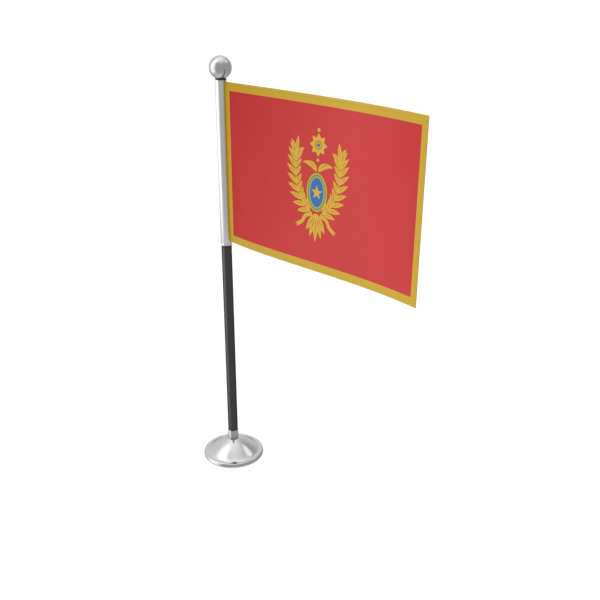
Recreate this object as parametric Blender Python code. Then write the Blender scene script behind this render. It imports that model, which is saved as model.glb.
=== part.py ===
"""Desk flag stand: a weighted bell-shaped foot, a black pole, a turning flag tube and a ball finial.

Metres, +Z up. The pole's axis is Z, the origin is the middle of the foot's underside, and the flag
flies along +X. Heights and radii below are in millimetres, heights measured from the table.
"""

import math

import bmesh
import bpy

MM = 0.001

# The flag, and how it bows out of its own plane
FLAG_FLY = 225.0
FLAG_HOIST = 150.0
FLAG_BOTTOM = 240.1
LAYER_THICKNESS = 0.2
LAYER_SPACING = 0.28
CLAMPED_LENGTH = 8.0
LINING_INSET = 1.6
TOP_LEAN, TOP_BELLY, TOP_WAVE = 2.0, 26.0, -12.0
BOTTOM_LEAN, BOTTOM_BELLY, BOTTOM_WAVE = -1.0, 6.0, -24.0
FIELD_COLUMNS = 22
FIELD_ROWS = 6

# The tube that carries the flag, and the rod that its hem is rolled round
TUBE_OUTER_R = 5.5
TUBE_INNER_R = 4.7
TUBE_BOTTOM = 235.8
TUBE_TOP = 391.3
SLOT_WIDTH = 1.1
HEM_X = 3.45
HEM_ROD_R = 0.75
HEM_ROLL_R = 0.95
HEM_END_X = 5.0

# The black pole, its plugs and the thin spindle above it
POLE_R = 5.0
POLE_BORE_R = 3.8
POLE_BOTTOM = 29.9
POLE_TOP = 234.3
PLUG_R = 3.72
SPIGOT_R = 3.0
SPIGOT_BOTTOM = 13.2
RING_HEIGHT = 18.2
SPINDLE_R = 2.0
SPINDLE_BOTTOM = 218.2
SPINDLE_TOP = 403.4

# The finial
BALL_R = 10.4
BALL_CENTRE = 401.7
BALL_FLAT = 393.15
INSERT_R = 3.5
INSERT_TOP = 404.2

# The foot
FOOT_R = 31.4
SHELL = 0.9
RIM_R = 1.9
RIM_MIDDLE = 2.6
RIM_RISE = 2.9
RIM_START = 105.0
NECK_SLOPE = 0.42
NECK_REACH = 14.0
GUTTER_REACH = 4.0
NECK_TOP = 19.3
PAD_R = 28.2
PAD_TOP = 1.0
WEIGHT_R = 28.4
WEIGHT_BOTTOM = 1.2
SOCKET_R = 5.45
SOCKET_TOP = 29.7
SOCKET_FLOOR = 12.9
SHANK_R = 4.4
SHANK_BOTTOM = 7.8
SCREW_R = 1.98

# Clearances
RUNNING = 0.06
SEAT = 0.2
INNER_GAP = 0.3

ROUND = 40
SMALL_ROUND = 24


def clear_scene():
    for obj in list(bpy.data.objects):
        bpy.data.objects.remove(obj, do_unlink=True)


def finish(name, colour, roughness, metallic):
    material = bpy.data.materials.new(name)
    material.use_nodes = True
    shader = material.node_tree.nodes["Principled BSDF"]
    shader.inputs["Base Color"].default_value = (*colour, 1.0)
    shader.inputs["Roughness"].default_value = roughness
    shader.inputs["Metallic"].default_value = metallic
    material.diffuse_color = (*colour, 1.0)
    return material


def make_object(name, mesh, material, sharp_angle=35.0):
    """Turns a bmesh into a named, smooth-shaded object with crisp corners."""
    bmesh.ops.recalc_face_normals(mesh, faces=mesh.faces)
    data = bpy.data.meshes.new(name)
    mesh.to_mesh(data)
    mesh.free()
    data.materials.append(material)
    data.shade_smooth()
    data.set_sharp_from_angle(angle=math.radians(sharp_angle))
    obj = bpy.data.objects.new(name, data)
    bpy.context.scene.collection.objects.link(obj)
    return obj


def turned(name, outline, material, segments=ROUND, closed=True, centre=(0.0, 0.0)):
    """A lathe-turned piece. A closed outline makes a ring, an open one starts and ends on the axis."""
    mesh = bmesh.new()
    points = [mesh.verts.new(((centre[0] + r) * MM, centre[1] * MM, z * MM)) for r, z in outline]
    edges = [mesh.edges.new(pair) for pair in zip(points, points[1:])]
    if closed:
        edges.append(mesh.edges.new((points[-1], points[0])))
    bmesh.ops.spin(
        mesh,
        geom=points + edges,
        cent=(centre[0] * MM, centre[1] * MM, 0.0),
        axis=(0.0, 0.0, 1.0),
        angle=math.tau,
        steps=segments,
        use_merge=True,
    )
    bmesh.ops.remove_doubles(mesh, verts=mesh.verts, dist=1e-7)
    return make_object(name, mesh, material)


def split_ring(name, inner_r, outer_r, slot, bottom, top, material, segments=ROUND):
    """A ring or tube cut open lengthwise on its +X side by a slot of this width."""
    outline = []
    for radius, direction in ((outer_r, 1), (inner_r, -1)):
        start = math.asin(slot / 2 / radius)
        span = math.tau - 2 * start
        turns = [start + span * step / segments for step in range(segments + 1)]
        for angle in turns[::direction]:
            outline.append((radius * math.cos(angle), radius * math.sin(angle)))
    mesh = bmesh.new()
    face = mesh.faces.new([mesh.verts.new((x * MM, y * MM, bottom * MM)) for x, y in outline])
    raised = bmesh.ops.extrude_face_region(mesh, geom=[face])["geom"]
    lifted = [part for part in raised if isinstance(part, bmesh.types.BMVert)]
    bmesh.ops.translate(mesh, verts=lifted, vec=(0.0, 0.0, (top - bottom) * MM))
    return make_object(name, mesh, material)


def cut(obj, cutter):
    """Takes the cutter's shape out of the object."""
    cutter.hide_render = True
    cutter.display_type = "WIRE"
    modifier = obj.modifiers.new("cut", "BOOLEAN")
    modifier.operation = "DIFFERENCE"
    modifier.solver = "EXACT"
    modifier.object = cutter


def box_cutter(name, low, high):
    mesh = bmesh.new()
    bmesh.ops.create_cube(mesh, size=1.0)
    size = [b - a for a, b in zip(low, high)]
    middle = [(a + b) / 2 for a, b in zip(low, high)]
    for vert in mesh.verts:
        vert.co = [(m + c * s) * MM for m, c, s in zip(middle, vert.co, size)]
    return make_object(name, mesh, None)


def hexagon_cutter(name, across_flats, bottom, top):
    mesh = bmesh.new()
    corner_r = across_flats / math.sqrt(3)
    bmesh.ops.create_cone(
        mesh,
        cap_ends=True,
        segments=6,
        radius1=corner_r * MM,
        radius2=corner_r * MM,
        depth=(top - bottom) * MM,
    )
    bmesh.ops.translate(mesh, verts=mesh.verts, vec=(0.0, 0.0, (top + bottom) / 2 * MM))
    return make_object(name, mesh, None)


def arc(centre, radii, start, end, steps):
    """Points on an ellipse from one angle to another, in degrees."""
    angles = [math.radians(start + (end - start) * step / steps) for step in range(steps + 1)]
    return [(centre[0] + radii[0] * math.cos(a), centre[1] + radii[1] * math.sin(a)) for a in angles]


def s_curve(start, start_slope, start_reach, end, end_slope, end_reach, steps):
    """A cubic curve between two points, with its slope at each end and how far that slope is held."""
    handles = (
        (start[0] + start_reach, start[1] + start_slope * start_reach),
        (end[0] - end_reach, end[1] - end_slope * end_reach),
    )
    points = []
    for step in range(steps + 1):
        t = step / steps
        shares = ((1 - t) ** 3, 3 * t * (1 - t) ** 2, 3 * t * t * (1 - t), t**3)
        points.append(tuple(sum(w * q[i] for w, q in zip(shares, (start, *handles, end))) for i in (0, 1)))
    return points


def moved_in(points, distance):
    """The outline moved this far to its right-hand side, which is the inside of a shell."""
    moved = []
    for index, (r, z) in enumerate(points):
        before = points[max(index - 1, 0)]
        after = points[min(index + 1, len(points) - 1)]
        run, fall = after[0] - before[0], after[1] - before[1]
        length = math.hypot(run, fall)
        moved.append((r + distance * fall / length, z - distance * run / length))
    return moved


def foot_surface():
    """The foot's top: one bell curve from the neck down into a gutter, which runs on into the rolled rim."""
    rim = arc((FOOT_R - RIM_R, RIM_MIDDLE), (RIM_R, RIM_RISE), RIM_START, 0.0, 6)
    lean = math.radians(RIM_START - 90.0)
    rim_slope = RIM_RISE / RIM_R * math.tan(lean)
    bell = s_curve((SOCKET_R, NECK_TOP), -NECK_SLOPE, NECK_REACH, rim[0], rim_slope, GUTTER_REACH, 14)
    return bell + rim[1:]


def make_foot(chrome, iron, felt, steel):
    surface = foot_surface()
    underlip = arc((FOOT_R - RIM_R, RIM_MIDDLE), (RIM_R, RIM_MIDDLE - 0.6), -30.0, -90.0, 2)
    lined = [point for point in surface if point[0] > 8.0]
    neck_hole = SHANK_R + SEAT
    lining = moved_in(lined, SHELL)[::2]
    outline = [(neck_hole, NECK_TOP), *surface, *underlip]
    outline += [(underlip[-1][0] - SHELL, underlip[-1][1]), *lining[::-1], (neck_hole, lining[0][1])]
    cover = turned("base_cover", outline, chrome)

    core = [point for point in moved_in(lined, SHELL + INNER_GAP)[::2] if point[0] < WEIGHT_R - 1.0]
    bolt_hole, recess_r, web = 2.3, 5.4, (5.4, 7.4)
    outline = [(SHANK_R + INNER_GAP, core[0][1]), *core, (WEIGHT_R, core[-1][1] - 0.5)]
    outline += [(WEIGHT_R, WEIGHT_BOTTOM), (recess_r, WEIGHT_BOTTOM), (recess_r, web[0])]
    outline += [(bolt_hole, web[0]), (bolt_hole, web[1]), (SHANK_R + INNER_GAP, web[1])]
    weight = turned("base_weight", outline, iron)

    pad = turned(
        "base_pad",
        [(0.0, PAD_TOP), (PAD_R, PAD_TOP), (PAD_R, 0.0), (0.0, 0.0)],
        felt,
        closed=False,
    )

    bore, tapping, chamfer = SPIGOT_R + RUNNING, SCREW_R + RUNNING, 0.3
    socket = turned(
        "pole_socket",
        [
            (bore, SOCKET_TOP),
            (SOCKET_R - chamfer, SOCKET_TOP),
            (SOCKET_R, SOCKET_TOP - chamfer),
            (SOCKET_R, NECK_TOP + SEAT),
            (SHANK_R, NECK_TOP + SEAT),
            (SHANK_R, SHANK_BOTTOM),
            (tapping, SHANK_BOTTOM),
            (tapping, SOCKET_FLOOR),
            (bore, SOCKET_FLOOR),
        ],
        chrome,
    )

    washer = turned(
        "base_washer", [(2.2, 5.2), (4.5, 5.2), (4.5, 4.4), (2.2, 4.4)], steel, SMALL_ROUND
    )
    lock_washer = split_ring("base_lock_washer", 2.2, 3.9, 0.8, 3.5, 4.2, steel, 24)
    head_r, head = 3.6, (1.6, 3.3)
    screw = turned(
        "base_screw",
        [
            (0.0, SOCKET_FLOOR - 0.4),
            (SCREW_R - 0.3, SOCKET_FLOOR - 0.4),
            (SCREW_R, SOCKET_FLOOR - 0.8),
            (SCREW_R, head[1]),
            (head_r, head[1]),
            (head_r, head[0] + 0.4),
            (head_r - 0.4, head[0]),
            (0.0, head[0]),
        ],
        steel,
        24,
        closed=False,
    )
    cut(screw, hexagon_cutter("screw_key_cutter", 2.5, head[0] - 0.5, head[1] - 0.5))
    return [cover, weight, pad, socket, washer, lock_washer, screw]


def make_pole(black, steel, rubber):
    edge = 0.2
    tube = turned(
        "pole_tube",
        [
            (POLE_BORE_R, POLE_TOP),
            (POLE_R - edge, POLE_TOP),
            (POLE_R, POLE_TOP - edge),
            (POLE_R, POLE_BOTTOM + edge),
            (POLE_R - edge, POLE_BOTTOM),
            (POLE_BORE_R, POLE_BOTTOM),
        ],
        black,
    )
    groove_r, groove_half, plug_top = 2.0, 0.6, 49.5
    foot_plug = turned(
        "pole_foot_plug",
        [
            (0.0, plug_top),
            (PLUG_R - 0.3, plug_top),
            (PLUG_R, plug_top - 0.3),
            (PLUG_R, POLE_BOTTOM),
            (SPIGOT_R, POLE_BOTTOM),
            (SPIGOT_R, RING_HEIGHT + groove_half),
            (groove_r, RING_HEIGHT + groove_half),
            (groove_r, RING_HEIGHT - groove_half),
            (SPIGOT_R, RING_HEIGHT - groove_half),
            (SPIGOT_R, SPIGOT_BOTTOM + 0.4),
            (SPIGOT_R - 0.4, SPIGOT_BOTTOM),
            (0.0, SPIGOT_BOTTOM),
        ],
        steel,
        closed=False,
    )
    section_r = (SPIGOT_R - groove_r) / 2 - 0.05
    ring_middle = (groove_r + SPIGOT_R) / 2
    seal = turned(
        "foot_o_ring",
        arc((ring_middle, RING_HEIGHT), (section_r, section_r), 90.0, -225.0, 7),
        rubber,
        SMALL_ROUND,
    )
    plug_bottom = 212.0
    tapping = SPINDLE_R + RUNNING
    top_plug = turned(
        "pole_top_plug",
        [
            (tapping, POLE_TOP),
            (PLUG_R, POLE_TOP),
            (PLUG_R, plug_bottom + 0.3),
            (PLUG_R - 0.3, plug_bottom),
            (0.0, plug_bottom),
            (0.0, SPINDLE_BOTTOM - SEAT),
            (tapping, SPINDLE_BOTTOM - SEAT),
        ],
        steel,
        SMALL_ROUND,
    )
    spindle = turned(
        "spindle",
        [
            (0.0, SPINDLE_TOP),
            (SPINDLE_R - 0.3, SPINDLE_TOP),
            (SPINDLE_R, SPINDLE_TOP - 0.3),
            (SPINDLE_R, SPINDLE_BOTTOM + 0.3),
            (SPINDLE_R - 0.3, SPINDLE_BOTTOM),
            (0.0, SPINDLE_BOTTOM),
        ],
        steel,
        SMALL_ROUND,
        closed=False,
    )
    return [tube, foot_plug, seal, top_plug, spindle]


def bow(x, z):
    """How far the flag stands out of its plane, towards +Y, at this point."""
    along = max(x - TUBE_OUTER_R, 0.0) / FLAG_FLY
    down = 1.0 - (z - FLAG_BOTTOM) / FLAG_HOIST
    bend = along * (1.0 - along)
    wave = bend * (1.0 - 2.0 * along)
    top = TOP_LEAN * along + TOP_BELLY * bend + TOP_WAVE * wave
    bottom = BOTTOM_LEAN * along + BOTTOM_BELLY * bend + BOTTOM_WAVE * wave
    freed = 1.0 - math.exp(-along * FLAG_FLY / CLAMPED_LENGTH)
    return (top * (1.0 - down) + bottom * down) * freed


def cloth_layer(name, plan, material, inset=0.0):
    """A cloth panel: a strip of even thickness along a plan route, as tall as the flag less the inset."""
    half = LAYER_THICKNESS / 2
    low, high = FLAG_BOTTOM + inset, FLAG_BOTTOM + FLAG_HOIST - inset
    sides = []
    for index, (x, y) in enumerate(plan):
        before = plan[max(index - 1, 0)]
        after = plan[min(index + 1, len(plan) - 1)]
        run, rise = after[0] - before[0], after[1] - before[1]
        length = math.hypot(run, rise)
        sides.append((-rise / length * half, run / length * half))
    mesh = bmesh.new()
    rows = []
    for row in range(FIELD_ROWS + 1):
        z = low + (high - low) * row / FIELD_ROWS
        pair = []
        for sign in (1, -1):
            side = []
            for (x, y), (out_x, out_y) in zip(plan, sides):
                spot = (x + sign * out_x, y + sign * out_y + bow(x, z), z)
                side.append(mesh.verts.new([value * MM for value in spot]))
            pair.append(side)
        rows.append(pair)
    last = len(plan) - 1
    for (left, right), (left_up, right_up) in zip(rows, rows[1:]):
        for i in range(last):
            for side, side_up in ((left, left_up), (right, right_up)):
                mesh.faces.new((side[i], side[i + 1], side_up[i + 1]))
                mesh.faces.new((side[i], side_up[i + 1], side_up[i]))
        for i in (0, last):
            mesh.faces.new((left[i], right[i], right_up[i], left_up[i]))
    for left, right in (rows[0], rows[-1]):
        for i in range(last):
            mesh.faces.new((left[i], left[i + 1], right[i + 1], right[i]))
    return make_object(name, mesh, material)


def field_plan(start_x, y, inset=0.0):
    """A layer's straight route from start_x to the fly edge less the inset."""
    fly_x = TUBE_OUTER_R + FLAG_FLY - inset
    columns = [TUBE_OUTER_R + 0.5 + (FLAG_FLY - 0.5) * i / FIELD_COLUMNS for i in range(FIELD_COLUMNS)]
    return [(x, y) for x in [start_x, *[c for c in columns if c > start_x + 0.2], fly_x]]


def hem_roll():
    """The front panel's hem: round the hoist rod, from behind it to the front side."""
    lift = math.degrees(math.asin(LAYER_SPACING / HEM_ROLL_R))
    roll = arc((HEM_X, 0.0), (HEM_ROLL_R, HEM_ROLL_R), lift, 360.0 - lift, 10)
    return [(HEM_END_X, LAYER_SPACING), *roll]


def make_flag_set(silver, nylon, cloth, lining, steel):
    edge = 0.15
    tube = turned(
        "flag_tube",
        [
            (TUBE_INNER_R, TUBE_TOP),
            (TUBE_OUTER_R - edge, TUBE_TOP),
            (TUBE_OUTER_R, TUBE_TOP - edge),
            (TUBE_OUTER_R, TUBE_BOTTOM + edge),
            (TUBE_OUTER_R - edge, TUBE_BOTTOM),
            (TUBE_INNER_R, TUBE_BOTTOM),
        ],
        silver,
    )
    slot_half = SLOT_WIDTH / 2
    slot_low = (TUBE_INNER_R - 1.0, -slot_half, FLAG_BOTTOM - INNER_GAP)
    slot_high = (TUBE_OUTER_R + 1.0, slot_half, TUBE_TOP + 1.0)
    cut(tube, box_cutter("tube_slot_cutter", slot_low, slot_high))
    bore, body_r, flange_r = SPINDLE_R + RUNNING, TUBE_INNER_R - 0.1, POLE_R
    low_flange = (POLE_TOP + SEAT, TUBE_BOTTOM - SEAT)
    lower_bush = turned(
        "lower_bush",
        [
            (bore, FLAG_BOTTOM - INNER_GAP),
            (body_r, FLAG_BOTTOM - INNER_GAP),
            (body_r, low_flange[1]),
            (flange_r, low_flange[1]),
            (flange_r, low_flange[0]),
            (bore, low_flange[0]),
        ],
        nylon,
    )
    high_flange = (TUBE_TOP + SEAT, BALL_FLAT - SEAT)
    upper_bush_bottom = 387.2
    upper_bush = turned(
        "upper_bush",
        [
            (bore, high_flange[1]),
            (flange_r, high_flange[1]),
            (flange_r, high_flange[0]),
            (body_r, high_flange[0]),
            (body_r, upper_bush_bottom),
            (bore, upper_bush_bottom),
        ],
        nylon,
    )
    notch_half = HEM_ROLL_R + 0.5
    notch_top = FLAG_BOTTOM + FLAG_HOIST + 0.5
    notch = box_cutter(
        "bush_notch_cutter",
        (SPINDLE_R - 0.5, -notch_half, upper_bush_bottom - 1.0),
        (TUBE_OUTER_R, notch_half, notch_top),
    )
    cut(upper_bush, notch)
    rod_end_gap = 0.5
    rod = turned(
        "hoist_rod",
        [
            (0.0, FLAG_BOTTOM + FLAG_HOIST - rod_end_gap),
            (HEM_ROD_R, FLAG_BOTTOM + FLAG_HOIST - rod_end_gap),
            (HEM_ROD_R, FLAG_BOTTOM + rod_end_gap),
            (0.0, FLAG_BOTTOM + rod_end_gap),
        ],
        steel,
        16,
        closed=False,
        centre=(HEM_X, 0.0),
    )
    front = cloth_layer(
        "flag_front_panel", hem_roll() + field_plan(TUBE_INNER_R, -LAYER_SPACING), cloth
    )
    back = cloth_layer("flag_back_panel", field_plan(HEM_END_X + INNER_GAP, LAYER_SPACING), cloth)
    inside_plan = field_plan(TUBE_INNER_R + 0.05, 0.0, LINING_INSET)
    inside = cloth_layer("flag_interlining", inside_plan, lining, LINING_INSET)
    return [tube, lower_bush, upper_bush, rod, front, back, inside]


def make_finial(chrome, brass):
    flat_r = math.sqrt(BALL_R**2 - (BALL_CENTRE - BALL_FLAT) ** 2)
    flat_angle = math.degrees(math.atan2(BALL_FLAT - BALL_CENTRE, flat_r))
    sphere = arc((0.0, BALL_CENTRE), (BALL_R, BALL_R), 90.0, flat_angle, 13)[1:]
    hole_r, hole_top = INSERT_R + 0.1, INSERT_TOP + INNER_GAP
    ball = turned(
        "ball_finial",
        [
            (0.0, BALL_CENTRE + BALL_R),
            *sphere,
            (hole_r, BALL_FLAT),
            (hole_r, hole_top),
            (0.0, hole_top),
        ],
        chrome,
        closed=False,
    )
    tapping = SPINDLE_R + RUNNING
    insert = turned(
        "finial_insert",
        [
            (0.0, INSERT_TOP),
            (INSERT_R, INSERT_TOP),
            (INSERT_R, BALL_FLAT + 0.1),
            (tapping, BALL_FLAT + 0.1),
            (tapping, SPINDLE_TOP + 0.1),
            (0.0, SPINDLE_TOP + 0.1),
        ],
        brass,
        SMALL_ROUND,
        closed=False,
    )
    return [ball, insert]


def hold(name, height, pieces):
    """Groups a moving body's pieces under an empty on the pole's axis."""
    frame = bpy.data.objects.new(name, None)
    frame.location = (0.0, 0.0, height * MM)
    bpy.context.scene.collection.objects.link(frame)
    for piece in pieces:
        piece.parent = frame
        piece.location = (0.0, 0.0, -height * MM)
        for modifier in piece.modifiers:
            modifier.object.parent = frame
            modifier.object.location = piece.location
    return frame


def build():
    clear_scene()
    chrome = finish("chrome", (0.86, 0.86, 0.87), 0.12, 1.0)
    silver = finish("silver", (0.82, 0.82, 0.83), 0.25, 1.0)
    black = finish("black_coat", (0.02, 0.02, 0.02), 0.35, 0.0)
    steel = finish("steel", (0.60, 0.60, 0.62), 0.35, 1.0)
    iron = finish("cast_iron", (0.10, 0.10, 0.11), 0.70, 1.0)
    brass = finish("brass", (0.75, 0.58, 0.25), 0.30, 1.0)
    nylon = finish("black_nylon", (0.015, 0.015, 0.015), 0.50, 0.0)
    rubber = finish("rubber", (0.03, 0.03, 0.03), 0.80, 0.0)
    felt = finish("felt", (0.03, 0.035, 0.03), 0.95, 0.0)
    cloth = finish("flag_cloth", (0.60, 0.05, 0.05), 0.60, 0.0)
    lining = finish("interlining", (0.80, 0.78, 0.74), 0.90, 0.0)

    foot = hold("foot_frame", 0.0, make_foot(chrome, iron, felt, steel))
    pole = hold("pole_frame", POLE_BOTTOM, make_pole(black, steel, rubber))
    flag = hold("flag_frame", TUBE_BOTTOM, make_flag_set(silver, nylon, cloth, lining, steel))
    finial = hold("finial_frame", BALL_FLAT, make_finial(chrome, brass))
    bpy.context.view_layer.update()
    for child, parent in ((pole, foot), (flag, pole), (finial, pole)):
        child.parent = parent
        child.matrix_parent_inverse = parent.matrix_world.inverted()
    bpy.context.view_layer.update()


build()
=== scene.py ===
"""Desk flag stand, the looks: camera, studio light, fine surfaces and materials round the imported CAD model.

The frame's axes: the pole stands on the origin along +Z and the flag flies along +X.
Lengths below are in millimetres unless a name says otherwise, and angles are in degrees.
"""

import math

import bmesh
import bpy
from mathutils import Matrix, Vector
from mathutils.geometry import delaunay_2d_cdt


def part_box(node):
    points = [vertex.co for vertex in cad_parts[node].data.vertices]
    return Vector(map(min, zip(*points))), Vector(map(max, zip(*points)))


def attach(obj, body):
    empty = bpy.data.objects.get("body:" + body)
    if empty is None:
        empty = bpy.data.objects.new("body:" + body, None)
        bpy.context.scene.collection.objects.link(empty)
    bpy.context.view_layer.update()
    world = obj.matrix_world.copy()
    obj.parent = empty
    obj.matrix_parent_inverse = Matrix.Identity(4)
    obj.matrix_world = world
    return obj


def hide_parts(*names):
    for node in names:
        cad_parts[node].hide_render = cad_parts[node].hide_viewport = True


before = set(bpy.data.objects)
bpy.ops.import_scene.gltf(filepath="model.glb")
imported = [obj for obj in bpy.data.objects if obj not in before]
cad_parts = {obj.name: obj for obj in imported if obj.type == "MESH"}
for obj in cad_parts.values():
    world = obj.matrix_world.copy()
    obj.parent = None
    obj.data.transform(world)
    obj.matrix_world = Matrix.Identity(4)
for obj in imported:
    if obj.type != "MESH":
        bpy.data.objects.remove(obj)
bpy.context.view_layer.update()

MM = 0.001

# Camera
CAMERA_PLACE = (603.0, -497.6, 508.1)
CAMERA_PITCH_DOWN = 23.013
CAMERA_TURN = 45.277
CAMERA_LENS = 51.253

# Fineness of the turned pieces
TURNED_STEPS = 160
FILLET_STEPS = 5

# The flag, and how it bows out of its own plane: as in the CAD
FLY = 225.0
HOIST = 150.0
LAYER = 0.2
LAYER_SPACING = 0.28
CLAMPED_LENGTH = 8.0
TOP_LEAN, TOP_BELLY, TOP_WAVE = 2.0, 26.0, -12.0
BOTTOM_LEAN, BOTTOM_BELLY, BOTTOM_WAVE = -1.0, 6.0, -24.0
BORDER_TOP = 7.5
BORDER_HOIST = 6.0
BORDER_FLY = 6.0
TUBE_WALL = 0.8
TUBE_SLOT = 1.1
TUBE_LINE = 1.8
EDGE_ROUNDING = 1.0
EDGE_MIDDLE = 0.12
# The painted sheen band on the satin: where along X it is palest, how fast it fades to each side, and how
# fast it pales downwards
SHEEN_X = 155.0
SHEEN_REACH = 140.0
SHEEN_HEIGHT = 450.0
STITCH_INSET = 2.4
STITCH_PITCH = 2.4
STITCH_LENGTH = 1.9
STITCH_WIDTH = 0.32
STITCH_HEIGHT = 0.06
STITCH_SUNK = 0.03
STITCH_FACES = ((0, 1, 2, 3), (4, 5, 6, 7), (0, 1, 5, 4), (1, 2, 6, 5), (2, 3, 7, 6), (3, 0, 4, 7))
GRID_STEP = 3.0
HEM_X = 3.45
HEM_ROLL_R = 0.95
HEM_END_X = 5.0


def bottom_of(node):
    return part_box(node)[0].z / MM


def top_of(node):
    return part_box(node)[1].z / MM


def radius_of(node):
    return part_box(node)[1].y / MM


HOIST_X = radius_of("flag_tube")
FLAG_BOTTOM = bottom_of("flag_front_panel")


# ---------------------------------------------------------------- node helpers

def feed(tree, socket, value):
    """Links an output to an input, or sets the input to a constant."""
    if isinstance(value, bpy.types.NodeSocket):
        tree.links.new(value, socket)
    else:
        socket.default_value = value


def calc(tree, operation, *values):
    node = tree.nodes.new("ShaderNodeMath")
    node.operation = operation
    for socket, value in zip(node.inputs, values):
        feed(tree, socket, value)
    return node.outputs[0]


def ramped(tree, value, start, end, low, high, smooth=True):
    """The value mapped from start..end to low..high and held outside it."""
    node = tree.nodes.new("ShaderNodeMapRange")
    node.interpolation_type = "SMOOTHSTEP" if smooth else "LINEAR"
    feed(tree, node.inputs["Value"], value)
    for name, number in (("From Min", start), ("From Max", end), ("To Min", low), ("To Max", high)):
        node.inputs[name].default_value = number
    return node.outputs["Result"]


def place_in_mm(tree, stretch=(1.0, 1.0, 1.0)):
    """The point on the object in millimetres, stretched along each axis."""
    coordinates = tree.nodes.new("ShaderNodeTexCoord")
    mapping = tree.nodes.new("ShaderNodeMapping")
    mapping.inputs["Scale"].default_value = [s / MM for s in stretch]
    tree.links.new(coordinates.outputs["Object"], mapping.inputs["Vector"])
    return mapping.outputs["Vector"]


def noise(tree, vector, size, detail=3.0, roughness=0.55):
    """Smooth noise from 0 to 1 with features of this size in millimetres."""
    node = tree.nodes.new("ShaderNodeTexNoise")
    node.inputs["Scale"].default_value = 1.0 / size
    node.inputs["Detail"].default_value = detail
    node.inputs["Roughness"].default_value = roughness
    tree.links.new(vector, node.inputs["Vector"])
    return node.outputs["Fac"]


def tint(tree, value, dark, light):
    """A colour that runs from dark to light as the value goes from 0 to 1."""
    node = tree.nodes.new("ShaderNodeMix")
    node.data_type = "RGBA"
    feed(tree, node.inputs["Factor"], value)
    node.inputs["A"].default_value = (*dark, 1.0)
    node.inputs["B"].default_value = (*light, 1.0)
    return node.outputs["Result"]


def bumped(tree, shader, height, depth):
    """Raises the surface by height times depth, in millimetres."""
    node = tree.nodes.new("ShaderNodeBump")
    node.inputs["Distance"].default_value = depth * MM
    node.inputs["Strength"].default_value = 1.0
    tree.links.new(height, node.inputs["Height"])
    tree.links.new(node.outputs["Normal"], shader.inputs["Normal"])


def new_material(name, **constants):
    """A Principled material with these constants on its own sockets, its tree and its shader."""
    material = bpy.data.materials.new(name)
    material.use_nodes = True
    tree = material.node_tree
    shader = tree.nodes["Principled BSDF"]
    for key, value in constants.items():
        shader.inputs[key.replace("_", " ")].default_value = value
    return material, tree, shader


def shade(colour, factor):
    return tuple(c * factor for c in colour)


# ---------------------------------------------------------------- materials

def polished_metal(name, colour, roughness, smudge, scratch_depth, edge=0.72):
    """Plated metal: faint smudges change its gloss, and hairline polishing marks lie in all directions."""
    material, tree, shader = new_material(name, Metallic=1.0, Specular_Tint=(edge, edge, edge, 1.0))
    place = place_in_mm(tree)
    clouds = noise(tree, place, 9.0, detail=5.0)
    feed(tree, shader.inputs["Base Color"], tint(tree, clouds, shade(colour, 0.97), shade(colour, 1.03)))
    grain = noise(tree, place, 0.35, detail=6.0, roughness=0.7)
    smudges = ramped(tree, clouds, 0.35, 0.7, 0.0, smudge)
    gloss = calc(tree, "ADD", smudges, calc(tree, "MULTIPLY", grain, 0.02))
    feed(tree, shader.inputs["Roughness"], calc(tree, "ADD", gloss, roughness))
    marks = calc(
        tree,
        "MULTIPLY",
        noise(tree, place_in_mm(tree, (6.0, 0.5, 0.5)), 1.2, detail=2.0),
        noise(tree, place_in_mm(tree, (0.5, 0.6, 7.0)), 1.2, detail=2.0),
    )
    bumped(tree, shader, marks, scratch_depth)
    return material


def drawn_metal(name, colour, roughness):
    """Drawn tube: fine lines run along Z, so the gloss is smeared across them."""
    material, tree, shader = new_material(name, Metallic=1.0, Specular_Tint=(0.85, 0.85, 0.85, 1.0))
    lines = noise(tree, place_in_mm(tree, (9.0, 9.0, 0.05)), 1.0, detail=4.0, roughness=0.6)
    clouds = noise(tree, place_in_mm(tree), 14.0, detail=4.0)
    feed(tree, shader.inputs["Base Color"], tint(tree, lines, shade(colour, 0.95), shade(colour, 1.03)))
    streaks = ramped(tree, lines, 0.3, 0.7, -0.03, 0.04)
    hazy = ramped(tree, clouds, 0.3, 0.7, roughness, roughness + 0.05)
    feed(tree, shader.inputs["Roughness"], calc(tree, "ADD", streaks, hazy))
    bumped(tree, shader, lines, 0.0015)
    return material


def coated_black(name):
    """Satin black coat on the pole, with a fine orange peel and a few paler rub marks."""
    material, tree, shader = new_material(name, Metallic=1.0, Specular_Tint=(0.12, 0.12, 0.12, 1.0))
    place = place_in_mm(tree)
    peel = noise(tree, place, 0.8, detail=2.0)
    rubs = noise(tree, place_in_mm(tree, (1.0, 1.0, 0.12)), 1.6, detail=5.0, roughness=0.65)
    wear = ramped(tree, rubs, 0.55, 0.8, 0.0, 1.0)
    feed(tree, shader.inputs["Base Color"], tint(tree, wear, (0.092, 0.092, 0.093), (0.118, 0.118, 0.12)))
    feed(tree, shader.inputs["Roughness"], ramped(tree, rubs, 0.3, 0.75, 0.20, 0.27))
    bumped(tree, shader, peel, 0.004)
    return material


def moulded(name, colour, roughness, grain_size, grain_depth):
    """Moulded nylon or rubber with a fine mould grain."""
    material, tree, shader = new_material(name)
    place = place_in_mm(tree)
    grain = noise(tree, place, grain_size, detail=4.0, roughness=0.6)
    clouds = noise(tree, place, 6.0)
    feed(tree, shader.inputs["Base Color"], tint(tree, clouds, shade(colour, 0.85), shade(colour, 1.2)))
    uneven = ramped(tree, grain, 0.25, 0.75, roughness - 0.06, roughness + 0.08)
    feed(tree, shader.inputs["Roughness"], uneven)
    bumped(tree, shader, grain, grain_depth)
    return material


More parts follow.
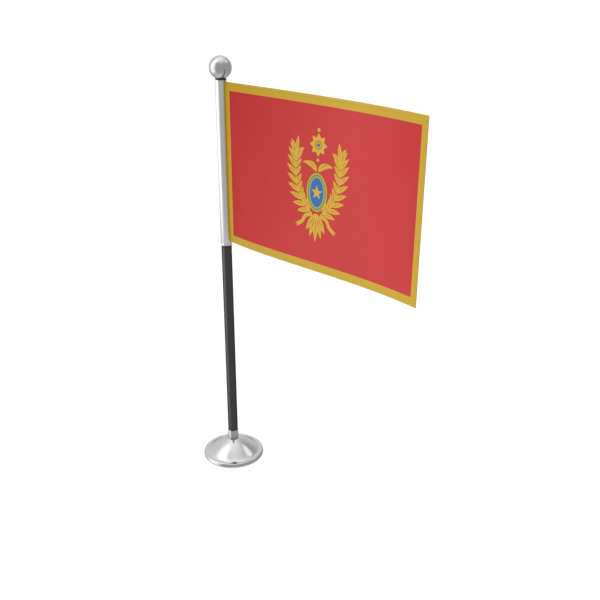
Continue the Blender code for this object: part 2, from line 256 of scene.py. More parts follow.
def rough_iron(name):
    """Cast iron in its as-cast skin, with rust-brown spots."""
    material, tree, shader = new_material(name, Metallic=0.6)
    place = place_in_mm(tree)
    skin = noise(tree, place, 1.1, detail=6.0, roughness=0.65)
    spots = ramped(tree, noise(tree, place, 5.0, detail=5.0), 0.6, 0.72, 0.0, 1.0)
    feed(tree, shader.inputs["Base Color"], tint(tree, spots, (0.075, 0.075, 0.08), (0.12, 0.065, 0.04)))
    feed(tree, shader.inputs["Roughness"], ramped(tree, skin, 0.3, 0.7, 0.55, 0.8))
    bumped(tree, shader, skin, 0.15)
    return material


def felt(name):
    """Pressed black felt: matted fibres and a soft nap."""
    material, tree, shader = new_material(name, Sheen_Weight=0.4, Sheen_Roughness=0.6, Roughness=0.95)
    place = place_in_mm(tree)
    fibres = noise(tree, place, 0.3, detail=6.0, roughness=0.75)
    feed(tree, shader.inputs["Base Color"], tint(tree, fibres, (0.012, 0.013, 0.013), (0.045, 0.047, 0.046)))
    bumped(tree, shader, fibres, 0.12)
    return material


def satin(name, colour, bright_colour):
    """Printed polyester satin: long floats along the fly, a fine twill ridge and a soft shine.

    The colour is deeper near the hoist and palest low on the middle of the fly. That band is painted,
    not lit: it stands for the sheen of a bowed satin, and it stays with the cloth when the flag turns.
    """
    material, tree, shader = new_material(
        name,
        Sheen_Weight=0.01,
        Sheen_Roughness=0.35,
        Specular_IOR_Level=0.18,
    )
    place = place_in_mm(tree)
    floats = noise(tree, place_in_mm(tree, (0.25, 1.0, 5.0)), 0.7, detail=3.0, roughness=0.6)
    slubs = noise(tree, place_in_mm(tree, (0.05, 1.0, 1.6)), 1.5, detail=3.0)
    weave = tree.nodes.new("ShaderNodeTexWave")
    weave.wave_type = "BANDS"
    weave.bands_direction = "Z"
    weave.inputs["Scale"].default_value = 0.9
    weave.inputs["Distortion"].default_value = 0.6
    weave.inputs["Detail"].default_value = 1.0
    tree.links.new(place_in_mm(tree, (0.12, 0.0, 1.0)), weave.inputs["Vector"])
    split = tree.nodes.new("ShaderNodeSeparateXYZ")
    tree.links.new(place, split.inputs[0])
    clouds = noise(tree, place, 38.0, detail=3.0)
    mottle = calc(tree, "ADD", calc(tree, "MULTIPLY", clouds, 0.3), calc(tree, "MULTIPLY", slubs, 0.2))
    off_middle = calc(tree, "ABSOLUTE", calc(tree, "SUBTRACT", split.outputs["X"], SHEEN_X))
    below_top = calc(tree, "SUBTRACT", FLAG_BOTTOM + HOIST, split.outputs["Z"])
    lower = calc(tree, "MULTIPLY", below_top, 1.0 / SHEEN_HEIGHT)
    sideways = calc(tree, "MULTIPLY", off_middle, 1.0 / SHEEN_REACH)
    # Random mottle in the cloth plus a painted sheen band, which is paler lower down and towards the middle
    # of the fly
    mottle_and_painted_sheen = calc(tree, "ADD", mottle, calc(tree, "SUBTRACT", lower, sideways))
    share = ramped(tree, mottle_and_painted_sheen, -0.75, 0.25, 0.0, 1.0, smooth=False)
    feed(tree, shader.inputs["Base Color"], tint(tree, share, colour, bright_colour))
    feed(tree, shader.inputs["Roughness"], ramped(tree, floats, 0.3, 0.7, 0.46, 0.58))
    ridges = calc(tree, "MULTIPLY", weave.outputs["Fac"], 0.35)
    height = calc(tree, "ADD", ridges, calc(tree, "MULTIPLY", floats, 0.65))
    bumped(tree, shader, height, 0.025)
    return material


def woven_lining(name):
    """The stiff undyed canvas between the two panels."""
    material, tree, shader = new_material(name, Roughness=0.9)
    along_and_across = ((0.2, 1.0, 1.5), (1.5, 1.0, 0.2))
    threads = [noise(tree, place_in_mm(tree, stretch), 0.5, detail=2.0) for stretch in along_and_across]
    cloth = calc(tree, "ADD", threads[0], threads[1])
    share = ramped(tree, cloth, 0.8, 1.2, 0.0, 1.0)
    feed(tree, shader.inputs["Base Color"], tint(tree, share, (0.66, 0.63, 0.57), (0.8, 0.78, 0.73)))
    bumped(tree, shader, cloth, 0.06)
    return material


CHROME = polished_metal("polished_chrome", (0.57, 0.57, 0.575), 0.10, 0.05, 0.004)
SOCKET_CHROME = polished_metal("socket_chrome", (0.57, 0.57, 0.575), 0.16, 0.05, 0.005)
SILVER = drawn_metal("drawn_silver", (0.77, 0.77, 0.775), 0.25)
STEEL = drawn_metal("turned_steel", (0.56, 0.555, 0.55), 0.30)
BRASS = polished_metal("machined_brass", (0.72, 0.53, 0.25), 0.25, 0.1, 0.01)
BLACK = coated_black("black_anodised")
NYLON = moulded("black_nylon", (0.018, 0.018, 0.018), 0.42, 0.25, 0.02)
RUBBER = moulded("o_ring_rubber", (0.02, 0.02, 0.02), 0.6, 0.15, 0.01)
IRON = rough_iron("cast_iron")
FELT = felt("base_felt")
LINING = woven_lining("canvas_interlining")
# Each satin has its own colour and a paler one, towards which the random mottle and the painted sheen band
# run
CLOTH = {
    "border": satin("satin_gold_border", (0.545, 0.34, 0.010), (0.65, 0.42, 0.042)),
    "field": satin("satin_red_field", (0.51, 0.014, 0.014), (0.63, 0.050, 0.050)),
    "gold": satin("satin_gold_emblem", (0.62, 0.42, 0.025), (0.69, 0.465, 0.045)),
    "blue": satin("satin_blue_medallion", (0.036, 0.15, 0.43), (0.044, 0.165, 0.46)),
    "green": satin("satin_green_medallion", (0.19, 0.32, 0.065), (0.21, 0.345, 0.08)),
}
CLOTH_ORDER = list(CLOTH)
THREAD = moulded("gold_thread", (0.46, 0.29, 0.025), 0.5, 0.2, 0.02)


# ---------------------------------------------------------------- mesh helpers

def new_piece(name, mesh, materials, body, slot, *stands_for, sharp_angle=40.0):
    """Makes the mesh a smooth-shaded piece that rides on a body and stands for these CAD nodes."""
    data = bpy.data.meshes.new(name)
    mesh.to_mesh(data)
    mesh.free()
    for material in materials:
        data.materials.append(material)
    data.shade_smooth()
    data.set_sharp_from_angle(angle=math.radians(sharp_angle))
    obj = bpy.data.objects.new(name, data)
    bpy.context.scene.collection.objects.link(obj)
    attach(obj, body)
    if stands_for:
        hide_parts(*stands_for)
    return obj


def arc(centre, radii, start, end, steps):
    """Points on an ellipse from one angle to another."""
    angles = [math.radians(start + (end - start) * step / steps) for step in range(steps + 1)]
    return [(centre[0] + radii[0] * math.cos(a), centre[1] + radii[1] * math.sin(a)) for a in angles]


def smooth_curve(points, steps):
    """A Catmull-Rom curve through the points, which it starts and ends on."""
    ends = [points[0], *points, points[-1]]
    curve = [points[0]]
    for a, b, c, d in zip(ends, ends[1:], ends[2:], ends[3:]):
        for step in range(1, steps + 1):
            t = step / steps
            curve.append(
                tuple(
                    b[i]
                    + 0.5 * t * (c[i] - a[i])
                    + 0.5 * t * t * (2 * a[i] - 5 * b[i] + 4 * c[i] - d[i])
                    + 0.5 * t**3 * (3 * b[i] - a[i] - 3 * c[i] + d[i])
                    for i in (0, 1)
                )
            )
    return curve


def filleted(corners, closed=True):
    """The outline with each corner (radius, height, rounding) turned into a short curve."""
    outline = []
    count = len(corners)
    for index, corner in enumerate(corners):
        rounding = corner[2] if len(corner) > 2 else 0.0
        at_end = not closed and index in (0, count - 1)
        if at_end or not rounding:
            outline.append(corner[:2])
            continue
        here = Vector(corner[:2])
        back = Vector(corners[index - 1][:2]) - here
        ahead = Vector(corners[(index + 1) % count][:2]) - here
        start = here + back.normalized() * min(rounding, back.length / 2)
        end = here + ahead.normalized() * min(rounding, ahead.length / 2)
        for step in range(FILLET_STEPS + 1):
            t = step / FILLET_STEPS
            point = start * (1 - t) ** 2 + here * 2 * t * (1 - t) + end * t * t
            outline.append((point.x, point.y))
    return outline


def turned_mesh(outline, closed=True, steps=TURNED_STEPS):
    """A lathe-turned mesh. A closed outline makes a ring, an open one starts and ends on the axis."""
    mesh = bmesh.new()
    rings = []
    for radius, height in outline:
        if radius == 0.0:
            rings.append([mesh.verts.new((0.0, 0.0, height * MM))] * steps)
            continue
        turns = [math.tau * step / steps for step in range(steps)]
        spots = [(radius * math.cos(a) * MM, radius * math.sin(a) * MM, height * MM) for a in turns]
        rings.append([mesh.verts.new(spot) for spot in spots])
    pairs = list(zip(rings, rings[1:]))
    if closed:
        pairs.append((rings[-1], rings[0]))
    for above, below in pairs:
        for i in range(steps):
            j = (i + 1) % steps
            corners = dict.fromkeys((above[i], below[i], below[j], above[j]))
            mesh.faces.new(corners)
    bmesh.ops.recalc_face_normals(mesh, faces=mesh.faces)
    return mesh


# ---------------------------------------------------------------- foot and pole

FOOT_R = radius_of("base_cover")
NECK_TOP = top_of("base_cover")
SOCKET_R = radius_of("pole_socket")
RIM_R = 1.9
RIM_MIDDLE = 2.6
RIM_RISE = 2.9
RIM_START = 105.0
NECK_SLOPE = 0.42
NECK_REACH = 14.0
GUTTER_REACH = 4.0


def s_curve(start, start_slope, start_reach, end, end_slope, end_reach, steps):
    """A cubic curve between two points, with its slope at each end and how far that slope is held."""
    handles = (
        (start[0] + start_reach, start[1] + start_slope * start_reach),
        (end[0] - end_reach, end[1] - end_slope * end_reach),
    )
    points = []
    for step in range(steps + 1):
        t = step / steps
        shares = ((1 - t) ** 3, 3 * t * (1 - t) ** 2, 3 * t * t * (1 - t), t**3)
        points.append(tuple(sum(w * q[i] for w, q in zip(shares, (start, *handles, end))) for i in (0, 1)))
    return points


def foot_surface():
    """The foot's top: one bell curve from the neck down into a gutter, which runs on into the rolled rim."""
    rim = arc((FOOT_R - RIM_R, RIM_MIDDLE), (RIM_R, RIM_RISE), RIM_START, 0.0, 24)
    lean = math.radians(RIM_START - 90.0)
    rim_slope = RIM_RISE / RIM_R * math.tan(lean)
    bell = s_curve((SOCKET_R, NECK_TOP), -NECK_SLOPE, NECK_REACH, rim[0], rim_slope, GUTTER_REACH, 72)
    return bell + rim[1:]


def make_foot_cover():
    surface = foot_surface()
    underlip = arc((FOOT_R - RIM_R, RIM_MIDDLE), (RIM_R, RIM_MIDDLE - 0.6), -8.0, -90.0, 10)
    # The unseen inner side, drawn coarsely: 1.0 to 1.4 mm below the bell
    inside = [(28.8, 0.8), (FOOT_R - 1.1, RIM_MIDDLE), (28.6, 4.2), (26.4, 4.2)]
    inside += [(20.0, 9.2), (15.0, 13.1), (8.0, 16.9)]
    neck_hole = SOCKET_R - 0.85
    outline = [(neck_hole, NECK_TOP), *surface, *underlip, *inside, (neck_hole, inside[-1][1])]
    new_piece("foot_cover", turned_mesh(outline), [CHROME], "base", "chrome", "base_cover")


def make_foot_pad():
    pad_r, top = radius_of("base_pad"), top_of("base_pad")
    corners = [(0.0, top), (pad_r, top, 0.3), (pad_r, 0.0, 0.3), (0.0, 0.0)]
    mesh = turned_mesh(filleted(corners, closed=False), closed=False)
    new_piece("foot_pad", mesh, [FELT], "base", "felt", "base_pad")


def make_socket():
    """The turned ferrule that the pole plugs into: a plain collar with eased edges and a bored end."""
    top, bottom = top_of("pole_socket"), bottom_of("pole_socket")
    collar = NECK_TOP + 0.2
    shank_r, bore, tapping, floor = SOCKET_R - 1.05, 3.06, 2.04, 12.9
    corners = [
        (bore, top, 0.15),
        (SOCKET_R, top, 0.4),
        (SOCKET_R, collar, 0.1),
        (shank_r, collar),
        (shank_r, bottom, 0.2),
        (tapping, bottom, 0.2),
        (tapping, floor),
        (bore, floor),
    ]
    new_piece("ferrule", turned_mesh(filleted(corners)), [SOCKET_CHROME], "base", "chrome", "pole_socket")


def make_pole():
    top, bottom, outer = top_of("pole_tube"), bottom_of("pole_tube"), radius_of("pole_tube")
    corners = [(3.8, top, 0.15), (outer, top, 0.35), (outer, bottom, 0.35), (3.8, bottom, 0.15)]
    new_piece("black_pole", turned_mesh(filleted(corners)), [BLACK], "pole", "black_coat", "pole_tube")


# ---------------------------------------------------------------- flag tube, bushes and ball

def make_bush(name, node, flange_top, flange_bottom, other_end):
    """A flanged bush: the flange shows as a black ring, the body sits in the tube."""
    bore, body_r, flange_r = 2.06, radius_of("flag_tube") - 0.9, radius_of(node)
    if other_end > flange_top:
        corners = [(bore, other_end), (body_r, other_end, 0.2), (body_r, flange_top)]
        corners += [(flange_r, flange_top, 0.12), (flange_r, flange_bottom, 0.2), (bore, flange_bottom)]
    else:
        corners = [(bore, flange_top), (flange_r, flange_top, 0.2), (flange_r, flange_bottom, 0.12)]
        corners += [(body_r, flange_bottom), (body_r, other_end, 0.2), (bore, other_end)]
    new_piece(name, turned_mesh(filleted(corners)), [NYLON], "flag_set", "black_nylon", node)


def make_flag_tube():
    """The silver tube: a fine line near each end, and a slit for the hem that is open at the top only."""
    outer, top, bottom = radius_of("flag_tube"), top_of("flag_tube"), bottom_of("flag_tube")
    inner = outer - TUBE_WALL
    corners = [(inner, top, 0.1), (outer, top, 0.25)]
    for line in (top - TUBE_LINE, bottom + TUBE_LINE):
        corners += [(outer, line + 0.12), (outer - 0.07, line), (outer, line - 0.12)]
    corners += [(outer, bottom, 0.25), (inner, bottom, 0.1)]
    mesh = turned_mesh(filleted(corners))
    blank = bpy.data.objects.new("tube_blank", bpy.data.meshes.new("tube_blank"))
    mesh.to_mesh(blank.data)
    mesh.free()

    mesh = bmesh.new()
    bmesh.ops.create_cube(mesh, size=1.0)
    low = (inner - 1.0, -TUBE_SLOT / 2, FLAG_BOTTOM - 0.3)
    high = (outer + 1.0, TUBE_SLOT / 2, top + 1.0)
    for vert in mesh.verts:
        vert.co = [((a + b) / 2 + c * (b - a)) * MM for a, b, c in zip(low, high, vert.co)]
    saw = bpy.data.objects.new("slot_saw", bpy.data.meshes.new("slot_saw"))
    mesh.to_mesh(saw.data)
    mesh.free()

    for helper in (blank, saw):
        bpy.context.scene.collection.objects.link(helper)
    cut = blank.modifiers.new("slot", "BOOLEAN")
    cut.operation, cut.solver, cut.object = "DIFFERENCE", "EXACT", saw
    eased = blank.modifiers.new("eased", "BEVEL")
    eased.limit_method, eased.angle_limit = "ANGLE", math.radians(60.0)
    eased.width, eased.segments = 0.1 * MM, 2
    bpy.context.view_layer.update()
    mesh = bmesh.new()
    mesh.from_object(blank, bpy.context.evaluated_depsgraph_get())
    for helper in (blank, saw):
        data = helper.data
        bpy.data.objects.remove(helper)
        bpy.data.meshes.remove(data)
    bmesh.ops.triangulate(mesh, faces=[face for face in mesh.faces if len(face.verts) > 4])
    new_piece("silver_flag_tube", mesh, [SILVER], "flag_set", "silver", "flag_tube")


def make_ball():
    ball_r = radius_of("ball_finial")
    top, flat = top_of("ball_finial"), bottom_of("ball_finial")
    centre = top - ball_r
    flat_angle = math.degrees(math.asin((flat - centre) / ball_r))
    hole_r, hole_top = 3.6, 404.5
    sphere = arc((0.0, centre), (ball_r, ball_r), 90.0, flat_angle, 90)[1:]
    outline = [(0.0, top), *sphere, (hole_r, flat), (hole_r, hole_top), (0.0, hole_top)]
    new_piece("ball", turned_mesh(outline, closed=False), [CHROME], "finial", "chrome", "ball_finial")


# ---------------------------------------------------------------- emblem

EMBLEM_X = 111.4
OVAL_MIDDLE = 80.2
OVAL_HALF_WIDTH = 11.4
OVAL_HALF_HEIGHT = 16.6


def leaf(root, direction, length, width, bend=0.0, points=9):
    """A pointed leaf's outline. Direction is clockwise from straight up; bend curls its tip."""
    sides = ([], [])
    for step in range(points + 1):
        t = step / points
        turn = math.radians(direction + bend * t)
        along = length * t
        centre = Vector((root[0] + along * math.sin(turn), root[1] - along * math.cos(turn)))
        across = Vector((math.cos(turn), math.sin(turn))) * width / 2 * math.sin(math.pi * t**0.8) ** 0.9
        sides[0].append(tuple(centre + across))
        if 0 < step < points:
            sides[1].append(tuple(centre - across))
    return sides[0] + sides[1][::-1]


def vein(root, direction, length, width, bend=0.0):
    """A leaf's midrib: a slim sliver inside it."""
    turn = math.radians(direction + bend * 0.18)
    start = (root[0] + 0.18 * length * math.sin(turn), root[1] - 0.18 * length * math.cos(turn))
    return leaf(start, direction + bend * 0.35, length * 0.6, width * 0.13, bend * 0.4, points=4)


def oval(inset):
    """The medallion's oval, drawn in by an inset."""
    half = (OVAL_HALF_WIDTH - inset, OVAL_HALF_HEIGHT - inset)
    return arc((EMBLEM_X, OVAL_MIDDLE), half, 0.0, 360.0, 48)[:-1]


def star(centre, outer, inner, tips):
    """A plain star with this many tips, the first one up."""
    points = []
    for step in range(2 * tips):
        angle = math.pi * step / tips
        radius = inner if step % 2 else outer
        points.append((centre[0] + radius * math.sin(angle), centre[1] - radius * math.cos(angle)))
    return points


def band(curve, width):
    """A band of even width along a curve."""
    sides = ([], [])
    for index, (x, y) in enumerate(curve):
        before, after = curve[max(index - 1, 0)], curve[min(index + 1, len(curve) - 1)]
        run, rise = after[0] - before[0], after[1] - before[1]
        length = math.hypot(run, rise)
        offset = (-rise / length * width / 2, run / length * width / 2)
        sides[0].append((x + offset[0], y + offset[1]))
        sides[1].append((x - offset[0], y - offset[1]))
    return sides[0] + sides[1][::-1]


def swallowtail(points, width):
    """A ribbon along a smooth curve, cut to a swallowtail at its end."""
    curve = smooth_curve(points, 5)
    outline = band(curve, width)
    end, before = Vector(curve[-1]), Vector(curve[-2])
    notch = end - (end - before).normalized() * width * 0.6
    outline.insert(len(curve), tuple(notch))
    return outline


def mirrored(outline):
    return [(2 * EMBLEM_X - x, y) for x, y in outline]


def emblem_outlines():
    """The emblem's outlines in (from the hoist, down from the top), each with its layer.

    A plain ornament: two laurel branches round an oval medallion with a star, a rosette above it
    and a fan of leaves with two ribbon ends below.
    """
    outlines = []

    def both_sides(layer, outline):
        outlines.append((layer, outline))
        outlines.append((layer, mirrored(outline)))

    def leaf_pair(out, down, heading, length, width, bend=0.0):
        """A veined leaf on each side of the emblem's middle, or one in the middle."""
        root = (EMBLEM_X + out, down)
        for layer, make in (("gold", leaf), ("vein", vein)):
            outline = make(root, heading, length, width, bend)
            if out or heading % 180:
                both_sides(layer, outline)
            else:
                outlines.append((layer, outline))

    branch = [(5.5, 98.5), (15.0, 91.5), (21.5, 80.0), (24.6, 66.0), (24.8, 54.5), (24.0, 50.0)]
    spine = smooth_curve(branch, 4)
    both_sides("gold", band([(EMBLEM_X + x, y) for x, y in spine], 1.2))
    for index in range(1, len(spine) - 1, 2):
        (x, y), ahead = spine[index], spine[index + 1]
        heading = math.degrees(math.atan2(ahead[0] - x, y - ahead[1]))
        grown = index / len(spine)
        leaf_pair(x, y, heading + 30.0, 14.5 - 1.0 * grown, 4.5 - 0.7 * grown, 12.0)
        leaf_pair(x, y, heading - 28.0, 11.5 - 1.0 * grown, 4.1 - 0.6 * grown, -12.0)
    leaf_pair(*spine[-1], -2.0, 15.0, 4.0, -4.0)

    rosette = (EMBLEM_X, 40.0)
    petals = 8
    for index in range(petals):
        outlines.append(("gold", leaf(rosette, 360.0 * index / petals, 9.6, 5.4)))
    outlines.append(("vein", star(rosette, 3.9, 3.5, 12)))
    outlines.append(("line", star(rosette, 3.0, 2.8, 12)))
    outlines.append(("spot", star(rosette, 1.7, 1.6, 10)))
    for level, size in ((27.6, 1.7), (52.6, 1.5)):
        outlines.append(("gold", star((EMBLEM_X, level), size, size * 0.92, 8)))
    leaf_pair(1.2, 62.5, 24.0, 17.0, 5.4, 46.0)

    for heading in (180.0, 163.0, 146.0):
        leaf_pair(0.0, 98.5, heading, 25.0 - (180.0 - heading) * 0.17, 5.6)
    tails = [(4.5, 99.5), (12.0, 102.5), (15.5, 108.0), (22.5, 112.5)]
    both_sides("gold", swallowtail([(EMBLEM_X + x, y) for x, y in tails], 3.2))

    for layer, inset in (("edging", 0.0), ("green", 0.9), ("ring", 3.1), ("blue", 3.8)):
        outlines.append((layer, oval(inset)))
    outlines.append(("line", star((EMBLEM_X, OVAL_MIDDLE), 6.4, 2.6, 5)))
    return outlines


# Layers from the top one down, and the cloth colour that each shows
LAYER_COLOURS = (
    ("spot", "blue"),
    ("line", "gold"),
    ("blue", "blue"),
    ("ring", "gold"),
    ("green", "green"),
    ("edging", "gold"),
    ("vein", "field"),
    ("gold", "gold"),
)


# ---------------------------------------------------------------- cloth

def bow(along, down):
    """How far the flag stands out of its plane, in mm towards +Y, at shares of its fly and hoist."""
    along = max(along, 0.0)
    bend = along * (1.0 - along)
    wave = bend * (1.0 - 2.0 * along)
    top = TOP_LEAN * along + TOP_BELLY * bend + TOP_WAVE * wave
    bottom = BOTTOM_LEAN * along + BOTTOM_BELLY * bend + BOTTOM_WAVE * wave
    freed = 1.0 - math.exp(-along * FLY / CLAMPED_LENGTH)
    return (top * (1.0 - down) + bottom * down) * freed


def hem_route():
    """The front panel's way inside the tube, in plan: from its free end round the rod to the slot."""
    lift = math.degrees(math.asin(LAYER_SPACING / HEM_ROLL_R))
    roll = arc((HEM_X, 0.0), (HEM_ROLL_R, HEM_ROLL_R), lift, 360.0 - lift, 18)
    return [(HEM_END_X, LAYER_SPACING), *roll, (HOIST_X - 0.8, -LAYER_SPACING)]


class Route:
    """A layer's line in plan. Its distance is 0 at the hoist edge, and under 0 inside the tube."""

    def __init__(self, lead, offset):
        self.offset = offset
        self.points = [*lead, (HOIST_X + FLY, offset)]
        lengths = [math.dist(a, b) for a, b in zip(self.points, self.points[1:])]
        total = sum(lengths)
        self.marks = [FLY - total]
        for length in lengths:
            self.marks.append(self.marks[-1] + length)

    def at(self, distance):
        """The place and the unit normal (to the left of the way to the fly) at this distance."""
        index = 0
        while index < len(self.marks) - 2 and distance > self.marks[index + 1]:
            index += 1
        a, b = self.points[index], self.points[index + 1]
        length = self.marks[index + 1] - self.marks[index]
        t = (distance - self.marks[index]) / length
        direction = ((b[0] - a[0]) / length, (b[1] - a[1]) / length)
        return (a[0] + (b[0] - a[0]) * t, a[1] + (b[1] - a[1]) * t), (-direction[1], direction[0])


def edge_pull(distance, down):
    """How far a panel is drawn from its own plane to the flag's middle, 0 to 1, near a sewn edge."""
    nearest = min(down, HOIST - down, FLY - distance)
    t = min(max(nearest / EDGE_ROUNDING, 0.0), 1.0)
    sewn = 1.0 - math.sqrt(1.0 - (1.0 - t) ** 2)
    clear_of_tube = min(max(distance / 2.5, 0.0), 1.0)
    return sewn * clear_of_tube


def layout(first):
    """Splits the panel's flat shape into triangles: its points, triangles and the colour of each."""
    points, faces, layers = [], [], []

    def add(layer, outline):
        start = len(points)
        twice_area = sum(a[0] * b[1] - b[0] * a[1] for a, b in zip(outline, outline[1:] + outline[:1]))
        points.extend(Vector(p) for p in (outline if twice_area > 0 else outline[::-1]))
        faces.append(list(range(start, start + len(outline))))
        layers.append(layer)

    def box(layer, left, top, right, bottom, step):
        across = max(round((right - left) / step), 1)
        down = max(round((bottom - top) / step), 1)
        outline = [(left + (right - left) * i / across, top) for i in range(across)]
        outline += [(right, top + (bottom - top) * i / down) for i in range(down)]
        outline += [(right - (right - left) * i / across, bottom) for i in range(across)]
        outline += [(left, bottom - (bottom - top) * i / down) for i in range(down)]
        add(layer, outline)

    box("panel", first, 0.0, FLY, HOIST, GRID_STEP)
    box("field", BORDER_HOIST, BORDER_TOP, FLY - BORDER_FLY, HOIST - BORDER_TOP, GRID_STEP)
    for layer, outline in emblem_outlines():
        add(layer, outline)
    edge_lines = [0.06, 0.22, 0.5, EDGE_ROUNDING]
    columns = [first + (0.0 - first) * i / 24 for i in range(1, 24)] if first < -2.0 else []
    columns += [0.0, 0.8, 1.6, 2.5]
    columns += [GRID_STEP * i for i in range(2, int(FLY / GRID_STEP))]
    columns += [FLY - line for line in edge_lines]
    rows = edge_lines + [GRID_STEP * i for i in range(1, int(HOIST / GRID_STEP))]
    rows += [HOIST - line for line in edge_lines]
    for x in columns:
        for y in rows:
            points.append(Vector((x, y)))
    corners, _, triangles, _, _, owners = delaunay_2d_cdt(points, [], faces, 0, 1e-5)
    colours = []
    for owner in owners:
        inside = {layers[index] for index in owner}
        colour = "field" if "field" in inside else "border"
        for layer, painted in LAYER_COLOURS:
            if layer in inside:
                colour = painted
                break
        colours.append(CLOTH_ORDER.index(colour))
    return corners, triangles, colours


def cloth_mesh(flat, route, outward):
    """The flat layout laid on its route and bowed, with its two faces and a closed edge.

    outward is +1 where the panel's face is on the left of the route and -1 where it is on the right.
    """
    corners, triangles, colours = flat
    mesh = bmesh.new()
    sides = ([], [])
    for corner in corners:
        (x, y), normal = route.at(corner.x)
        height = FLAG_BOTTOM + HOIST - corner.y
        out_of_plane = bow((x - HOIST_X) / FLY, corner.y / HOIST)
        pull = edge_pull(corner.x, corner.y) * (EDGE_MIDDLE - LAYER_SPACING) * outward
        for side, sign in zip(sides, (outward, -outward)):
            out_x, out_y = (sign * part * LAYER / 2 for part in normal)
            spot = (x + out_x, y + pull + out_y + out_of_plane, height)
            side.append(mesh.verts.new([value * MM for value in spot]))
    for side in sides:
        for triangle, colour in zip(triangles, colours):
            face = mesh.faces.new([side[i] for i in triangle])
            face.material_index = colour
            face.smooth = True
    open_edges = [edge for edge in mesh.edges if edge.is_boundary]
    bmesh.ops.bridge_loops(mesh, edges=open_edges)
    bmesh.ops.recalc_face_normals(mesh, faces=mesh.faces)
    return mesh


def make_stitching():
    """A row of lock stitches round the three free edges of each panel, in thread of the border's gold."""
    mesh = bmesh.new()
    surface = LAYER_SPACING + LAYER / 2
    near, far = STITCH_INSET, FLY - STITCH_INSET
    high, low = STITCH_INSET, HOIST - STITCH_INSET
    runs = (((near, high), (far, high)), ((near, low), (far, low)), ((far, high), (far, low)))
    for side in (-1, 1):
        for start, end in runs:
            length = math.dist(start, end)
            heading = ((end[0] - start[0]) / length, (end[1] - start[1]) / length)
            for index in range(int(length / STITCH_PITCH)):
                middle = (index + 0.5) * STITCH_PITCH
                corners = []
                for lift, share in ((-STITCH_SUNK, 0.5), (STITCH_HEIGHT, 0.38)):
                    for run, across in ((-share, -share), (share, -share), (share, share), (-share, share)):
                        along = middle + run * STITCH_LENGTH
                        x = start[0] + heading[0] * along - heading[1] * across * STITCH_WIDTH
                        down = start[1] + heading[1] * along + heading[0] * across * STITCH_WIDTH
                        y = bow(x / FLY, down / HOIST) + side * (surface + lift)
                        spot = (HOIST_X + x, y, FLAG_BOTTOM + HOIST - down)
                        corners.append(mesh.verts.new([v * MM for v in spot]))
                for face in STITCH_FACES:
                    mesh.faces.new([corners[i] for i in face])
    bmesh.ops.recalc_face_normals(mesh, faces=mesh.faces)
    return new_piece("flag_stitching", mesh, [THREAD], "flag_set", "flag_cloth", sharp_angle=80.0)


def make_flag():
    front_route = Route(hem_route(), -LAYER_SPACING)
    back_route = Route([(HOIST_X - 0.2, LAYER_SPACING)], LAYER_SPACING)
    cloth = [CLOTH[name] for name in CLOTH_ORDER]
    front_flat = layout(front_route.marks[0])
    mesh = cloth_mesh(front_flat, front_route, -1)
    front = new_piece("flag_front", mesh, cloth, "flag_set", "flag_cloth", "flag_front_panel")
    back_flat = layout(back_route.marks[0])
    mesh = cloth_mesh(back_flat, back_route, 1)
    back = new_piece("flag_back", mesh, cloth, "flag_set", "flag_cloth", "flag_back_panel")
    make_stitching()


# ---------------------------------------------------------------- CAD nodes that stay

def finish_cad_nodes():
    """Gives each inner CAD piece that stays in the scene the material of its slot."""
    looks = {
        "cast_iron": IRON,
        "brushed_steel": STEEL,
        "brass": BRASS,
        "rubber": RUBBER,
        "nylon": NYLON,
        "interlining": LINING,
    }
    chosen = {
        "base_weight": "cast_iron",
        "base_washer": "brushed_steel",
        "base_lock_washer": "brushed_steel",
        "base_screw": "brushed_steel",
        "pole_foot_plug": "brushed_steel",
        "foot_o_ring": "rubber",
        "pole_top_plug": "brushed_steel",
        "spindle": "brushed_steel",
        "hoist_rod": "brushed_steel",
        "finial_insert": "brass",
        "flag_interlining": "interlining",
    }
    for node, look in chosen.items():
        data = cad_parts[node].data
        data.materials.clear()
        data.materials.append(looks[look])


# ---------------------------------------------------------------- studio

CAMERA_AZIMUTH = -39.5
ROOM_RADIANCE = 0.48
BACKDROP_WHITE = 1.1
# The studio's soft lights. "at" is the azimuth from the camera's side, counterclockwise from above, and the
# elevation; "half" is half the width and half the height, and "soft" the width of the faded edge
STUDIO = {
    "tall softbox on the left": {"at": (-80, 15), "half": (24, 55), "soft": 16, "radiance": 0.95},
    "ceiling panel": {"at": (0, 90), "half": (220, 30), "soft": 30, "radiance": 0.9},
    "pale wall behind": {"at": (-150, 20), "half": (70, 50), "soft": 25, "radiance": 0.5},
    "window on the right": {"at": (100, 43), "half": (14, 8), "soft": 6, "radiance": 0.9},
    "lit table": {"at": (0, -80), "half": (220, 20), "soft": 30, "radiance": 0.5},
    "light beside the camera": {"at": (4, 23), "half": (4, 4), "soft": 3, "radiance": 0.5},
}


def window(tree, value, centre, half, softness):
    """1 within half of the centre, fading to 0 over the softness, round the circle."""
    apart = calc(tree, "WRAP", calc(tree, "SUBTRACT", value, centre), 180.0, -180.0)
    return ramped(tree, calc(tree, "ABSOLUTE", apart), half - softness, half + softness, 1.0, 0.0)


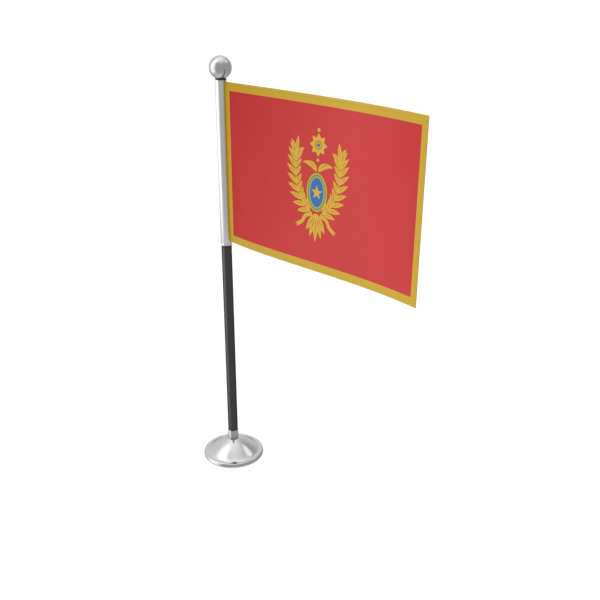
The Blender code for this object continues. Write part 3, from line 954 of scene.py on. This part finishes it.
def make_world():
    world = bpy.data.worlds.new("studio")
    bpy.context.scene.world = world
    world.use_nodes = True
    tree = world.node_tree
    background = tree.nodes["Background"]
    direction = tree.nodes.new("ShaderNodeTexCoord").outputs["Generated"]
    split = tree.nodes.new("ShaderNodeSeparateXYZ")
    tree.links.new(direction, split.inputs[0])
    azimuth = calc(tree, "DEGREES", calc(tree, "ARCTAN2", split.outputs["Y"], split.outputs["X"]))
    elevation = calc(tree, "DEGREES", calc(tree, "ARCSINE", split.outputs["Z"]))
    radiance = ROOM_RADIANCE
    for light in STUDIO.values():
        across = window(tree, azimuth, CAMERA_AZIMUTH + light["at"][0], light["half"][0], light["soft"])
        upright = window(tree, elevation, light["at"][1], light["half"][1], light["soft"])
        lit = calc(tree, "MULTIPLY", calc(tree, "MULTIPLY", across, upright), light["radiance"])
        radiance = calc(tree, "ADD", lit, radiance)
    seen = tree.nodes.new("ShaderNodeLightPath").outputs["Is Camera Ray"]
    backdrop = calc(tree, "MAXIMUM", radiance, calc(tree, "MULTIPLY", seen, BACKDROP_WHITE))
    tree.links.new(backdrop, background.inputs["Color"])


def make_floor():
    """A plain white table top, mostly emission. Only the camera sees it, so the metals mirror the studio."""
    mesh = bmesh.new()
    bmesh.ops.create_circle(mesh, cap_ends=True, segments=96, radius=6.0)
    data = bpy.data.meshes.new("floor")
    mesh.to_mesh(data)
    mesh.free()
    material, tree, shader = new_material(
        "white_table", Roughness=0.8, Specular_IOR_Level=0.0, Emission_Strength=0.85
    )
    shader.inputs["Emission Color"].default_value = (1.0, 1.0, 1.0, 1.0)
    grain = noise(tree, place_in_mm(tree), 40.0)
    feed(tree, shader.inputs["Base Color"], tint(tree, grain, (0.24, 0.24, 0.24), (0.25, 0.25, 0.25)))
    data.materials.append(material)
    floor = bpy.data.objects.new("floor", data)
    bpy.context.scene.collection.objects.link(floor)
    floor.visible_glossy = False
    floor.visible_diffuse = False
    floor.visible_shadow = False


def make_camera():
    data = bpy.data.cameras.new("camera")
    data.lens = CAMERA_LENS
    data.sensor_width = 36.0
    data.clip_start = 0.01
    camera = bpy.data.objects.new("camera", data)
    camera.location = [value * MM for value in CAMERA_PLACE]
    camera.rotation_euler = (math.radians(90.0 - CAMERA_PITCH_DOWN), 0.0, math.radians(CAMERA_TURN))
    bpy.context.scene.collection.objects.link(camera)
    bpy.context.scene.camera = camera


def set_colours():
    view = bpy.context.scene.view_settings
    view.view_transform = "Standard"
    view.look = "None"
    view.exposure = 0.0
    view.gamma = 1.0


make_camera()
make_world()
make_floor()
set_colours()
make_foot_cover()
make_foot_pad()
make_socket()
make_pole()
make_bush("lower_ring", "lower_bush", FLAG_BOTTOM - 4.5, bottom_of("lower_bush"), top_of("lower_bush"))
tube_end = top_of("flag_tube") + 0.2
make_bush("upper_ring", "upper_bush", top_of("upper_bush"), tube_end, bottom_of("upper_bush"))
make_flag_tube()
make_ball()
make_flag()
finish_cad_nodes()
